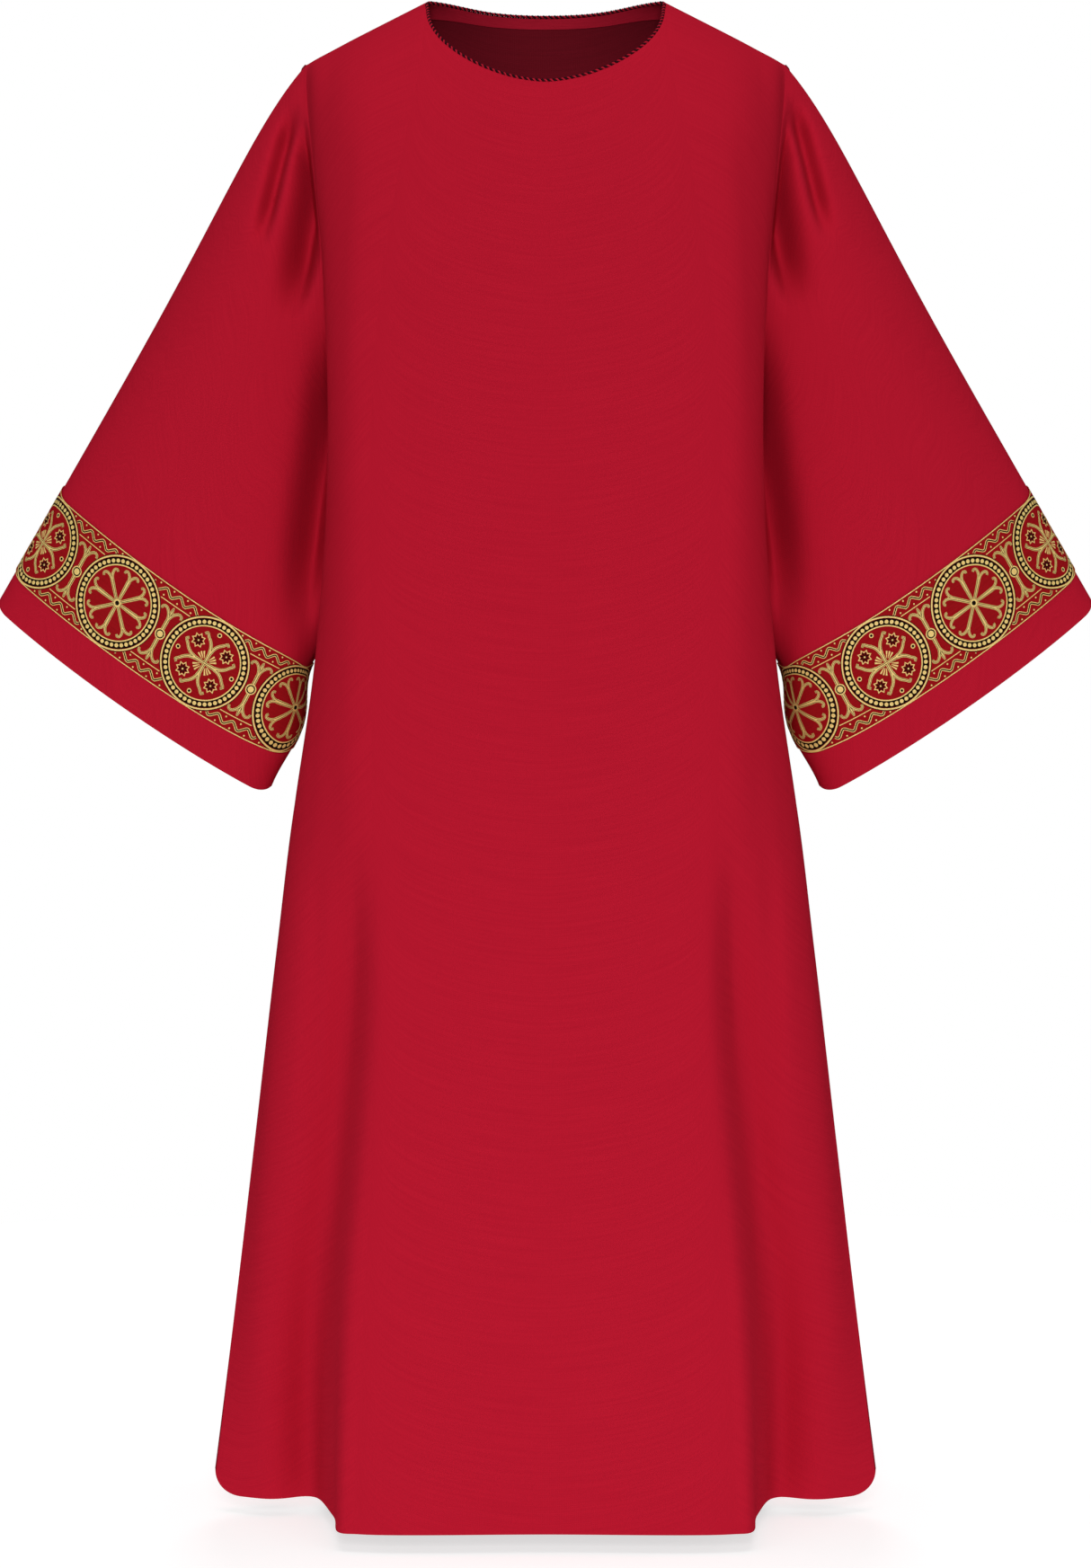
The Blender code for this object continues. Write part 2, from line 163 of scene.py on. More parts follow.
def unit(v):
    """Each vector divided by its length."""
    return v / np.maximum(np.linalg.norm(v, axis=-1, keepdims=True), 1e-12)


def smooth(x, knots, values, slopes):
    """The cubic through values at knots with those slopes, read at x."""
    i = np.clip(np.searchsorted(knots, x, side="right") - 1, 0, len(knots) - 2)
    if values.ndim > 1:
        spot = np.ogrid[tuple(slice(n) for n in x.shape)]
        near, far = (i, *spot), (i + 1, *spot)
    else:
        near, far = i, i + 1
    wide = knots[i + 1] - knots[i]
    u = (x - knots[i]) / wide
    keep, turn = (1 + 2 * u) * (1 - u) ** 2, u * (1 - u) ** 2
    gain, brake = u * u * (3 - 2 * u), u * u * (1 - u)
    return (
        values[near] * keep
        + values[far] * gain
        + slopes[near] * wide * turn
        - slopes[far] * wide * brake
    )


def level(field, z):
    """One column of SECTIONS, read at any height."""
    heights, values = COLUMN["z"], COLUMN[field]
    slopes = np.gradient(values, heights)
    return smooth(np.clip(z, heights[0], heights[-1]), heights, values, slopes)


def across(s, values, starts_flat):
    """A half cross-section through one value a knot, read at s."""
    values = np.stack(values)
    slopes = np.gradient(values, KNOTS, axis=0)
    if starts_flat:
        slopes[0] = 0
    return smooth(s, KNOTS, values, slopes)


def section_x(s, z):
    """How far to the side a point at s stands at height z."""
    sides = [level(name + "_x", z) for name in ("flat", "edge", "dip", "turn", "wing", "seam")]
    return across(s, [np.zeros_like(z), *sides], starts_flat=False)


def armhole_depth(down):
    """Half the armhole's depth, from 0 at the shoulder point to 1 at the armpit."""
    lens = np.clip(1 - np.abs(2 * down - 1) ** ARMHOLE_ROUNDNESS, 0, 1)
    taper = 1 - ARMHOLE_TAPER * ease((down - ARMHOLE_TAPER_FROM) / ARMHOLE_TAPER_LONG)
    return ARMHOLE_DEPTH * lens ** (1 / ARMHOLE_ROUNDNESS) * taper


def section_depth(s, z):
    """How far in front of the side seam's plane a point at s stands at height z."""
    seam = armhole_depth(np.clip((z + SHOULDER_DROP) / (ARMPIT_Z + SHOULDER_DROP), 0, 1))
    names = ("centre", "flat", "edge", "dip", "turn", "wing")
    return across(s, [*(level(name + "_d", z) for name in names), seam], starts_flat=True)


def top_edge(s, neck_s, front):
    """The height of a panel's top edge: the neck curve, then the straight shoulder seam."""
    share = np.clip(s / neck_s, 0, 1)
    curve = np.clip(1 - share**NECK_CURVE_ACROSS, 0, 1) ** (1 / NECK_CURVE_DOWN)
    neck = -NECK_FRONT_DROP * curve if front else NECK_BACK_RISE * ease(2 * (1 - share))
    x = section_x(s, np.full_like(s, SHOULDER_LEVEL))
    shoulder = -SHOULDER_DROP * np.clip((x - NECK_HALF) / (SHOULDER_HALF - NECK_HALF), 0, 1)
    return np.where(s < neck_s, neck, shoulder)


def body_point(side, s, z, neck_s, front):
    """A point of the body: the cross-section at z, rolled in towards the shoulder ridge."""
    share = np.clip(s / neck_s, 0, 1)
    ridge = np.where(s < neck_s, 0.0, top_edge(s, neck_s, front))
    if not front:
        ridge = ridge + NAPE_RISE * (1 - share**2) ** 2
    centre = ROLL_FRONT_CENTRE if front else ROLL_BACK_CENTRE
    reach = ROLL_SHOULDER + (centre - ROLL_SHOULDER) * (1 - ease(s / ROLL_ENDS))
    fall = np.clip((ridge - z) / reach, 0, 1)
    depth = section_depth(s, z) * (1 - (1 - fall) ** 2) ** ROLL_POWER
    x = section_x(s, z)
    mid = level("mid", z)
    y = mid - depth if front else mid + depth * BACK_SHARE
    return np.stack([side * x, y, z], axis=-1)


steps = np.linspace(0, 1, 401)
neck_s = float(np.interp(NECK_HALF, section_x(steps, np.full_like(steps, SHOULDER_LEVEL)), steps))
print("the neck point stands at s =", round(neck_s, 4))

# %% [markdown]
# ## Fine grids for the panels
#
# The solids are coarse, so the cloth is read from the same functions on a finer grid, with
# more columns at the corners of the neck, where the edge turns quickly, and beside the seams.
# A sleeve's rows run from the armhole to the cuff, and those under the galloon stand at fixed
# distances from the cuff, as the band is sewn on parallel to it.

# %% Panel grids
ROWS_TO_ARMPIT = 130
ROWS_TO_HEM = 66
NECK_STEPS = 40
OUTER_STEPS = 64
ROWS_TO_GALLOON = 100
GALLOON_ROWS = 16
CUFF_ROWS = 6


def columns():
    """Half a panel's columns, closer together at the neck point and at the seam."""
    neck = neck_s * np.sin(np.linspace(0, np.pi / 2, NECK_STEPS + 1))
    outer = neck_s + (1 - neck_s) * np.sin(np.linspace(0, np.pi / 2, OUTER_STEPS + 1)[1:])
    return np.concatenate([neck, outer])


def body_grid(front):
    """The panel's outer points: rows from its top edge to its hem, columns from side to side."""
    half = columns()
    s = np.concatenate([half[:0:-1], half])
    side = np.concatenate([-np.ones(len(half) - 1), np.ones(len(half))])
    hem = HEM_Z + HEM_CORNER_RISE * corner((s - HEM_CORNER_FROM) / (1 - HEM_CORNER_FROM))
    top = top_edge(s, neck_s, front)
    armpit = (-SHOULDER_DROP - ARMPIT_Z) / (-SHOULDER_DROP - (HEM_Z + HEM_CORNER_RISE))
    upper = armpit * (1 - np.cos(np.linspace(0, np.pi, ROWS_TO_ARMPIT + 1))) / 2
    lower = np.linspace(armpit, 1, ROWS_TO_HEM + 1)[1:]
    down = np.concatenate([upper, lower])[:, None]
    z = top + (hem - top) * down
    return body_point(side, np.broadcast_to(s, z.shape), z, neck_s, front)


def armhole_loop(front, back, edge):
    """The seam points at one edge column: down the front to the armpit and up the back."""
    return np.concatenate([front[: ROWS_TO_ARMPIT + 1, edge], back[ROWS_TO_ARMPIT - 1 :: -1, edge]])


def cuff_loop(down, facing):
    """The cuff's edge, from its corner over the arm, at 0, to its corner under the arm, at 1."""
    top, bottom = np.array(CUFF_TOP), np.array(CUFF_BOTTOM)
    arm = unit(top - [SHOULDER_HALF, -SHOULDER_DROP])
    lens = np.clip(1 - np.abs(2 * down - 1) ** CUFF_ROUNDNESS, 0, 1) ** (1 / CUFF_ROUNDNESS)
    edge = top + (bottom - top) * down[:, None]
    sag = CUFF_SAG * np.sin(np.pi * down)
    nearest = np.minimum(down, 1 - down)
    rise = CUFF_CORNER_RISE * corner(1 - nearest / CUFF_CORNER_SHARE)
    edge = edge + arm * (sag - rise + CUFF_FRONT_DROP * facing * lens)[:, None]
    return np.stack([edge[:, 0], -facing * CUFF_DEPTH * lens, edge[:, 1]], axis=-1)


def sleeve_grid(armhole):
    """The left sleeve's outer points: straight lines from armhole to cuff, bulged between."""
    half = (len(armhole) - 1) // 2
    facing = np.where(np.arange(len(armhole)) <= half, 1.0, -1.0)
    down = (armhole[:, 2] - armhole[0, 2]) / (armhole[half, 2] - armhole[0, 2])
    cuff = cuff_loop(down, facing)
    length = np.linalg.norm(cuff - armhole, axis=-1)
    band_top = 1 - (GALLOON_FROM_CUFF + GALLOON_WIDTH) / length
    crowding = 1 + ROW_CROWDING * (1 - down)
    upper = np.linspace(0, 1, ROWS_TO_GALLOON + 1)[:, None] ** crowding * band_top
    band = np.linspace(GALLOON_WIDTH, 0, GALLOON_ROWS + 1)[1:, None] + GALLOON_FROM_CUFF
    hem = np.linspace(GALLOON_FROM_CUFF, 0, CUFF_ROWS + 1)[1:, None]
    share = np.concatenate([upper, 1 - band / length, 1 - hem / length])
    points = armhole * (1 - share[..., None]) + cuff * share[..., None]
    hump = np.sqrt(np.clip(4 * down * (1 - down), 0, 1)) * facing
    points[..., 1] -= SLEEVE_BULGE * np.sin(np.pi * share) * hump
    arm = unit(np.array(CUFF_TOP) - [SHOULDER_HALF, -SHOULDER_DROP])
    out = OVERARM_BULGE * share * (1 - share) ** OVERARM_FADE * (1 - down) ** 2
    out = out + UNDERARM_BULGE * 4 * share * (1 - share) * down**UNDERARM_FADE
    tuck = np.exp(-(((share - UNDERARM_TUCK_AT) / UNDERARM_TUCK_HALF) ** 2)) * np.sin(np.pi * share)
    points[..., 0] -= UNDERARM_TUCK * tuck * down**UNDERARM_FADE
    points[..., 0] -= arm[1] * out
    points[..., 2] += arm[0] * out
    return points, share


front, back = body_grid(front=True), body_grid(front=False)
middle = front.shape[1] // 2
neck_left, neck_right = middle - NECK_STEPS, middle + NECK_STEPS
print("a body panel has", front.shape[0], "rows of", front.shape[1], "points")

# %% [markdown]
# ## Folds
#
# On the real garment short creases fall from the shoulder points, where the sleeve's weight
# hangs, and long soft ones run down beside the body. Each fold here is a line through a few
# points, x and z as seen from the front, and the cloth is pressed in along it: deepest on the
# line, fading out to both sides and towards both ends, unless it runs out at the hem. On one
# side they all stand 4 mm further out, and the back, which the photo hides, has the same ones,
# shallower.

# %% Fold tables
Fold = namedtuple("Fold", "line inner outer depth")
SLEEVE_FOLDS = [
    Fold([(0.212, -0.080), (0.226, -0.147), (0.242, -0.221)], 0.006, 0.008, 0.022),
    Fold([(0.204, -0.092), (0.193, -0.143), (0.200, -0.213), (0.213, -0.282)], 0.008, 0.015, 0.038),
    Fold([(0.172, -0.262), (0.182, -0.357), (0.194, -0.444), (0.206, -0.560)], 0.010, 0.016, 0.034),
]
BODY_FOLDS = [
    Fold([(0.158, -0.690), (0.160, -0.859), (0.170, -0.981), (0.184, -1.097), (0.191, -1.172),
          (0.196, -1.301)], 0.014, 0.026, 0.036),
    Fold([(0.188, -0.700), (0.190, -0.771), (0.194, -0.929), (0.198, -1.000)], 0.010, 0.012, 0.006),
]
FOOT_FADE = 0.35
HEAD_FADE = 0.30
LOWER_BY = 2.0


def pressed(x, z, folds, shift):
    """The sum over folds of depth times an ease at both ends times a bell across."""
    total = np.zeros_like(x)
    for fold in folds:
        points = np.array(fold.line) + [shift, -LOWER_BY * shift]
        heights, sides = points[::-1, 1], points[::-1, 0]
        slopes = np.gradient(sides, heights)
        centre = smooth(np.clip(z, heights[0], heights[-1]), heights, sides, slopes)
        run = (z - heights[0]) / (heights[-1] - heights[0])
        off = x - centre
        bell = np.exp(-((off / np.where(off < 0, fold.inner, fold.outer)) ** 2))
        foot = 1.0 if heights[0] <= HEM_Z else ease(run / FOOT_FADE)
        total += fold.depth * bell * foot * ease((1 - run) / HEAD_FADE) * (run <= 1.0)
    return total


# %% [markdown]
# ## From grids to thin cloth
#
# Cloth shows its thickness only at its edges, so each panel is a closed shell: the outer grid,
# the same grid moved in by the thickness, and a rim between them. Its flat coordinates are
# measured along the rows and columns, in metres, so that the weave keeps one size
# everywhere, also where the cloth curves.

# %% Shell builder
CLOTH = 0.0010
SHARP = math.radians(50)


def normals_of(grid, wraps=False):
    """Unit normals of a grid: down the column crossed with along the row."""
    if wraps:
        closed = np.concatenate([grid[:, -2:-1], grid, grid[:, 1:2]], axis=1)
        sideways = (closed[:, 2:] - closed[:, :-2]) / 2
    else:
        sideways = np.gradient(grid, axis=1)
    return unit(np.cross(np.gradient(grid, axis=0), sideways))


def flat_coordinates(grid):
    """Distances along the rows from the middle column, and down the columns from the top."""
    along = np.linalg.norm(np.diff(grid, axis=1), axis=-1)
    down = np.linalg.norm(np.diff(grid, axis=0), axis=-1)
    u = np.concatenate([np.zeros((len(grid), 1)), np.cumsum(along, axis=1)], axis=1)
    v = np.concatenate([np.zeros((1, grid.shape[1])), np.cumsum(down, axis=0)], axis=0)
    return np.stack([u - u[:, grid.shape[1] // 2, None], -v], axis=-1)


def quads_of(index):
    """The quads between neighbouring rows and columns of an index grid."""
    corners = (index[:-1, :-1], index[1:, :-1], index[1:, 1:], index[:-1, 1:])
    return np.stack(corners, axis=-1).reshape(-1, 4)


def wrapped(index):
    """An index grid with its first column again at its end."""
    return np.concatenate([index, index[:, :1]], axis=1)


def run_of(points):
    """How far along a line each of its points stands."""
    return np.concatenate([[0], np.cumsum(np.linalg.norm(np.diff(points, axis=0), axis=1))])


def new_mesh(name, points, quads, uv, finish):
    """A mesh object from arrays: points, quads, and one flat coordinate a quad's corner."""
    mesh = bpy.data.meshes.new(name)
    mesh.vertices.add(len(points))
    mesh.vertices.foreach_set("co", np.ascontiguousarray(points, dtype=np.float32).ravel())
    mesh.loops.add(quads.size)
    mesh.loops.foreach_set("vertex_index", quads.astype(np.int32).ravel())
    mesh.polygons.add(len(quads))
    mesh.polygons.foreach_set("loop_start", np.arange(0, quads.size, 4, dtype=np.int32))
    mesh.update(calc_edges=True)
    layer = mesh.uv_layers.new(name="flat")
    layer.data.foreach_set("uv", np.ascontiguousarray(uv, dtype=np.float32).ravel())
    mesh.shade_smooth()
    mesh.set_sharp_from_angle(angle=SHARP)
    mesh.validate()
    mesh.materials.append(finish)
    made = bpy.data.objects.new(name, mesh)
    bpy.context.scene.collection.objects.link(made)
    return made


def shell(name, outer, lean, inset, thickness, finish, wraps=False, inside_shade_finish=None):
    """A closed shell between the grid moved in by inset, and moved in by thickness more."""
    uv = flat_coordinates(outer)
    near, far = outer - lean * inset, outer - lean * (inset + thickness)
    rows, count = outer.shape[:2]
    spots = np.arange(rows * count).reshape(rows, count)
    index = spots
    if wraps:
        near, far = near[:, :-1], far[:, :-1]
        index = wrapped(np.arange(rows * (count - 1)).reshape(rows, count - 1))
    size = near.shape[0] * near.shape[1]
    if wraps:
        rims = [(index[0], spots[0]), (index[-1][::-1], spots[-1][::-1])]
    else:
        turn = [np.s_[0], np.s_[1:, -1], np.s_[-1, -2::-1], np.s_[-2::-1, 0]]
        rims = [tuple(np.concatenate([grid[part] for part in turn]) for grid in (index, spots))]
    quads, places = [quads_of(index), quads_of(index)[:, ::-1] + size], [quads_of(spots)]
    places.append(places[0][:, ::-1])
    for rim, place in rims:
        quads.append(np.stack([rim[:-1], rim[1:], rim[1:] + size, rim[:-1] + size], axis=-1))
        places.append(np.stack([place[:-1], place[1:], place[1:], place[:-1]], axis=-1))
    inside = np.repeat([0, 1, 0], [len(quads[0]), len(quads[1]), sum(map(len, quads[2:]))])
    quads, places = np.concatenate(quads), np.concatenate(places)
    points = np.concatenate([near.reshape(-1, 3), far.reshape(-1, 3)])
    corners = points[quads[rows // 2]]
    facing = np.cross(corners[1] - corners[0], corners[2] - corners[0])
    if facing @ lean.reshape(-1, 3)[places[rows // 2, 0]] < 0:
        quads, places = quads[:, ::-1], places[:, ::-1]
    made = new_mesh(name, points, quads, uv.reshape(-1, 2)[places], finish)
    # The inner faces take the second finish, a darker red that is painted shade.
    if inside_shade_finish is not None:
        made.data.materials.append(inside_shade_finish)
        made.data.polygons.foreach_set("material_index", inside.astype(np.int32))
    return made


# %% [markdown]
# ## Finishes
#
# The cloth is a plain-woven wool and polyester blend: matt, with thread ends that catch a
# little light at a glancing angle, which is what sheen is for. Its inner faces are given a
# darker red, painted shade, so that the inside reads as deep shade, and the tape at the neck a
# brighter red, painted light on a tape of the cloth's own red. The galloon is a jacquard band
# woven from dull red, dark brown and gold-coloured metallised thread. One function turns the
# hex colours that a designer writes down into the linear values that the shader works in.

# %% Material helpers
DRIFT_FROM, DRIFT_TO = 0.3, 0.7
THREAD_HEIGHT = 0.0004


def linear(code):
    """sRGB hex to linear: the low end divided by 12.92, the rest raised to 2.4."""
    srgb = np.array([int(code[i : i + 2], 16) / 255 for i in (1, 3, 5)])
    values = np.where(srgb <= 0.04045, srgb / 12.92, ((srgb + 0.055) / 1.055) ** 2.4)
    return (*(float(value) for value in values), 1.0)


def add(tree, kind, settings=(), feeds=(), **links):
    """One node: (socket or property, value) pairs, then what feeds its first or named sockets."""
    node = tree.nodes.new(kind)
    for key, value in settings:
        if isinstance(key, str) and hasattr(node, key):
            setattr(node, key, value)
        else:
            node.inputs[key].default_value = value
    for place, source in enumerate(feeds):
        tree.links.new(source, node.inputs[place])
    for key, source in links.items():
        tree.links.new(source, node.inputs[key.replace("_", " ")])
    return node


def finish_of(name, colour, **values):
    """A material with one Principled shader whose named sockets are set."""
    made = bpy.data.materials.new(name)
    made.use_nodes = True
    shader = made.node_tree.nodes["Principled BSDF"]
    shader.inputs["Base Color"].default_value = linear(colour)
    for key, value in values.items():
        shader.inputs[key.replace("_", " ")].default_value = value
    return made


def woven(name, colour, darker, threads, slub, strength, **values):
    """Woven cloth: threads stand up as waves both ways, and the colour drifts along slubs."""
    made = finish_of(name, colour, **values)
    tree = made.node_tree
    shader = tree.nodes["Principled BSDF"]
    flat = add(tree, "ShaderNodeUVMap", [("uv_map", "flat")]).outputs["UV"]
    warp, weft = (
        add(tree, "ShaderNodeTexWave", [("bands_direction", way), ("Scale", threads)], Vector=flat)
        for way in "XY"
    )
    stretched = add(tree, "ShaderNodeMapping", [("Scale", (*slub, 1.0))], Vector=flat)
    noise = add(tree, "ShaderNodeTexNoise", [("Scale", 1.0), ("Detail", 3.0)],
                Vector=stretched.outputs["Vector"])
    drift = add(tree, "ShaderNodeMapRange", [("From Min", DRIFT_FROM), ("From Max", DRIFT_TO)],
                Value=noise.outputs["Fac"])
    colours = add(tree, "ShaderNodeMix", [("data_type", "RGBA")], [drift.outputs["Result"]])
    for socket, code in zip(colours.inputs[6:8], (darker, colour)):
        socket.default_value = linear(code)
    tree.links.new(colours.outputs[2], shader.inputs["Base Color"])
    both = add(tree, "ShaderNodeMath", [("operation", "MULTIPLY")],
               [warp.outputs["Fac"], weft.outputs["Fac"]])
    height = add(tree, "ShaderNodeMath", [("operation", "ADD")],
                 [both.outputs["Value"], noise.outputs["Fac"]])
    bump = add(tree, "ShaderNodeBump", [("Strength", strength), ("Distance", THREAD_HEIGHT)],
               Height=height.outputs["Value"])
    tree.links.new(bump.outputs["Normal"], shader.inputs["Normal"])
    return made


# %% The finishes
SHEEN = {"Sheen_Weight": 0.02, "Sheen_Roughness": 0.5, "Sheen_Tint": linear("#e05a68"),
         "Specular_IOR_Level": 0.0}
cloth = woven("wool_blend_cloth", "#b3182d", "#ad162b", 200.0, (14.0, 420.0), 0.20,
              Roughness=0.85, **SHEEN)
# Painted shade: a darker red for the cloth's inner faces, which lie in shade inside the garment.
painted_shade_inside = woven("wool_blend_cloth_painted_shade", "#7c1222", "#74101f", 200.0, (14.0, 420.0), 0.20,
                Roughness=0.9, Specular_IOR_Level=0.1)
ground = woven("galloon_ground_weave", "#98141a", "#8c1116", 400.0, (60.0, 900.0), 0.35,
               Roughness=0.75, **SHEEN)
# Painted light: the tape is the cloth's own red, drawn brighter where it catches the light inside
# the neck.
tape = woven("red_facing_tape_painted_light", "#c8223a", "#bd1f35", 300.0, (40.0, 700.0), 0.25,
             Roughness=0.85, **SHEEN)
gold = woven("gold_metallised_thread", "#f2d98a", "#d9b25a", 500.0, (900.0, 900.0), 0.30,
             Roughness=0.45, Metallic=0.08, Specular_IOR_Level=0.5)
dark = finish_of("dark_brown_thread", "#170b06", Roughness=0.95, Specular_IOR_Level=0.05)
dark_strand = finish_of("dark_cord_strand", "#2a0a12", Roughness=0.9, Specular_IOR_Level=0.05)
red_strand = finish_of("red_cord_strand", "#b01a2e", Roughness=0.9, Specular_IOR_Level=0.05)
print("finishes", [item.name for item in bpy.data.materials if item.users])

# %% [markdown]
# ## The panels and the sleeves
#
# Front and back meet at the shoulder and side seams, and each sleeve starts on the armhole's
# own points. Where two panels meet, their inward directions are averaged, so that the seam
# closes, and the cloth is drawn in by a fifth of a millimetre there, as a sewn seam is.

# %% Folded panels
SEAM_DIP = 0.0002
SEAM_REACH = 0.004
SEAM_FREE = 0.015
SEAM_FADE = 0.012
MOST_PRESSED = 0.8
HIDDEN_SHARE = 0.8
SIDE_MITRE = 2.0
LEFT_SHIFT, RIGHT_SHIFT = 0.0, 0.004


def mitre(a, b):
    """The way into both walls at a seam, long enough to keep their thickness."""
    between = unit(a + b)
    square = np.sum(between * a, axis=-1, keepdims=True)
    return between / np.clip(square, LEAST_MITRE, 1)


def fold_body(panel, lean, inward, share):
    """Presses a body panel in along its folds, by share of their depth; inward is y's sign."""
    x, z = panel[..., 0], panel[..., 2]
    depth = pressed(np.abs(x), z, BODY_FOLDS, RIGHT_SHIFT) * (x < 0)
    depth += pressed(np.abs(x), z, BODY_FOLDS, LEFT_SHIFT) * (x >= 0)
    rim = np.abs(panel[:, [0, -1], 0]).max(axis=1, keepdims=True) - np.abs(x)
    depth = share * depth * ease(rim / SEAM_FADE)
    panel = panel - lean * (SEAM_DIP * np.exp(-((rim / SEAM_REACH) ** 2)))[..., None]
    panel[..., 1] += inward * depth
    return panel


def fold_sleeve(grid, share, side):
    """Presses a sleeve in from front and back along its folds, away from its armhole seam."""
    y = grid[..., 1]
    shift = LEFT_SHIFT if side > 0 else RIGHT_SHIFT
    depth = pressed(grid[..., 0], grid[..., 2], SLEEVE_FOLDS, shift) * ease(share / SEAM_FREE)
    depth = np.where(y < 0, depth, HIDDEN_SHARE * depth)
    grid[..., 1] = y - np.sign(y) * np.minimum(depth, MOST_PRESSED * np.abs(y))
    return grid


front = fold_body(front, normals_of(front), 1, 1.0)
back = fold_body(back, -normals_of(back), -1, HIDDEN_SHARE)
for edge in (0, -1):
    for row, axis in ((np.s_[:], 0), (np.s_[ROWS_TO_ARMPIT:], 1)):
        both = front[row, edge, axis] + back[row, edge, axis]
        front[row, edge, axis] = back[row, edge, axis] = both / 2
front_lean, back_lean = normals_of(front), -normals_of(back)
for seam in (np.s_[0, : neck_left + 1], np.s_[0, neck_right:], np.s_[ROWS_TO_ARMPIT:, 0],
             np.s_[ROWS_TO_ARMPIT:, -1]):
    front_lean[seam] = back_lean[seam] = mitre(front_lean[seam], back_lean[seam])
    front[seam] = back[seam] = (front[seam] + back[seam]) / 2
for edge, side in ((0, -1.0), (-1, 1.0)):
    for lean in (front_lean, back_lean):
        lean[ROWS_TO_ARMPIT:, edge] = [SIDE_MITRE * side, 0.0, 0.0]

sleeves = {}
for side, name, edge in ((1, "sleeve_left", -1), (-1, "sleeve_right", 0)):
    flip = np.array([side, 1, 1])
    grid, share = sleeve_grid(armhole_loop(front, back, edge) * flip)
    grid = fold_sleeve(grid, share, side) * flip
    lean = -side * normals_of(grid, wraps=True)
    shared = mitre(unit(armhole_loop(front_lean, back_lean, edge)), lean[0])
    lean[0] = shared
    front_lean[: ROWS_TO_ARMPIT + 1, edge] = shared[: ROWS_TO_ARMPIT + 1]
    back_lean[: ROWS_TO_ARMPIT + 1, edge] = shared[: ROWS_TO_ARMPIT - 1 : -1]
    sleeves[name] = (grid, lean)


def dress(piece, node):
    """Rides the one body and stands for its node, whose part it hides."""
    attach(piece, "root")
    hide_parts(node)
    return piece


front_cloth = shell("front_cloth", front, front_lean, 0.0, CLOTH, cloth, inside_shade_finish=painted_shade_inside)
back_cloth = shell("back_cloth", back, back_lean, 0.0, CLOTH, cloth, inside_shade_finish=painted_shade_inside)
dress(front_cloth, "front")
dress(back_cloth, "back")
for name, (grid, lean) in sleeves.items():
    piece = shell(name + "_cloth", grid, lean, 0.0, CLOTH, cloth, wraps=True, inside_shade_finish=painted_shade_inside)
    dress(piece, name)
    print(piece.name, len(piece.data.polygons), "quads")

# %% [markdown]
# ## The tape inside the back neck
#
# The raw edge of a neckline is covered by a strip of cloth inside. Only the back's shows, as
# the front's lies behind the front edge. It lies on the panel's inner face, so it is made from
# the panel's own points, moved in.

# %% Neck facing
FACING_DEPTH = 0.0085
TAPE = 0.0006
TAPE_GAP = 0.0001

last_row = int(np.searchsorted(-back[:, middle, 2], FACING_DEPTH))
span = np.s_[: last_row + 1, neck_left + 1 : neck_right]
facing = shell("neck_facing_tape", back[span], back_lean[span], CLOTH + TAPE_GAP, TAPE, tape)
dress(facing, "neck_facing")
across_back = run_of(back[span][0])[-1]
print("the back neck edge is", round(float(across_back), 3), "m")
print("facing", [round(value, 3) for value in facing.dimensions])

# %% [markdown]
# ## The cord round the neck
#
# The neck edge is finished with a fine cord of a dark and a red strand, twisted together. Two
# helices that share an axis make it: the axis follows the neck edge, and each strand circles
# it, half a turn behind the other.

# %% Neck cord
STRAND = 0.00095
TWIST = 0.0050
TURN_STEPS = 10
CORD_LIFT = 1.6
SWING = 0.8
RED_SHARE = 0.8
STRAND_SIDES = 6


def resampled(points, count):
    """A closed line's points, spread evenly along its length."""
    closed = np.concatenate([points, points[:1]])
    run = run_of(closed)
    at = np.linspace(0, run[-1], count, endpoint=False)
    return np.stack([np.interp(at, run, closed[:, axis]) for axis in range(3)], axis=-1), run[-1]


def tube(name, centres, out, radius, finish):
    """A closed ring of a tube: circles round each centre, out and the cross direction as axes."""
    along = unit(np.roll(centres, -1, axis=0) - np.roll(centres, 1, axis=0))
    first = unit(out - along * np.sum(out * along, axis=-1, keepdims=True))
    second = np.cross(along, first)
    angle = np.linspace(0, 2 * np.pi, STRAND_SIDES, endpoint=False)[None, :, None]
    rings = first[:, None] * np.cos(angle) + second[:, None] * np.sin(angle)
    points = centres[:, None] + radius * rings
    index = wrapped(np.arange(points.shape[0] * STRAND_SIDES).reshape(-1, STRAND_SIDES))
    quads = quads_of(np.concatenate([index, index[:1]]))[:, ::-1]
    uv = np.zeros((len(quads), 4, 2))
    return new_mesh(name, points.reshape(-1, 3), quads, uv, finish)


runs = (np.s_[0, neck_left : neck_right + 1], np.s_[0, neck_right - 1 : neck_left : -1])
edge = np.concatenate([front[runs[0]], back[runs[1]]])
edge_lean = np.concatenate([front_lean[runs[0]], back_lean[runs[1]]])
along = unit(np.roll(edge, -1, axis=0) - np.roll(edge, 1, axis=0))
up = unit(np.cross(edge_lean, along))
axis_line = edge - edge_lean * CLOTH / 2 + up * CORD_LIFT * STRAND
_, length = resampled(axis_line, TURN_STEPS)
turns = round(length / TWIST)
axis_line, _ = resampled(axis_line, turns * TURN_STEPS)
side_way = unit(resampled(edge_lean, turns * TURN_STEPS)[0])
along = unit(np.roll(axis_line, -1, axis=0) - np.roll(axis_line, 1, axis=0))
side_way = unit(side_way - along * np.sum(side_way * along, axis=-1, keepdims=True))
other_way = np.cross(along, side_way)
phase = 2 * np.pi * turns * np.linspace(0, 1, len(axis_line), endpoint=False)[:, None]
for start, share, name, finish in ((0.0, 1.0, "neck_cord_dark_strand", dark_strand),
                                   (np.pi, RED_SHARE, "neck_cord_red_strand", red_strand)):
    swing = side_way * np.cos(phase + start) + other_way * np.sin(phase + start)
    strand = tube(name, axis_line + SWING * STRAND * swing, swing, share * STRAND, finish)
    dress(strand, "neck_piping")
print("neck cord", round(length, 3), "m long,", turns, "turns")

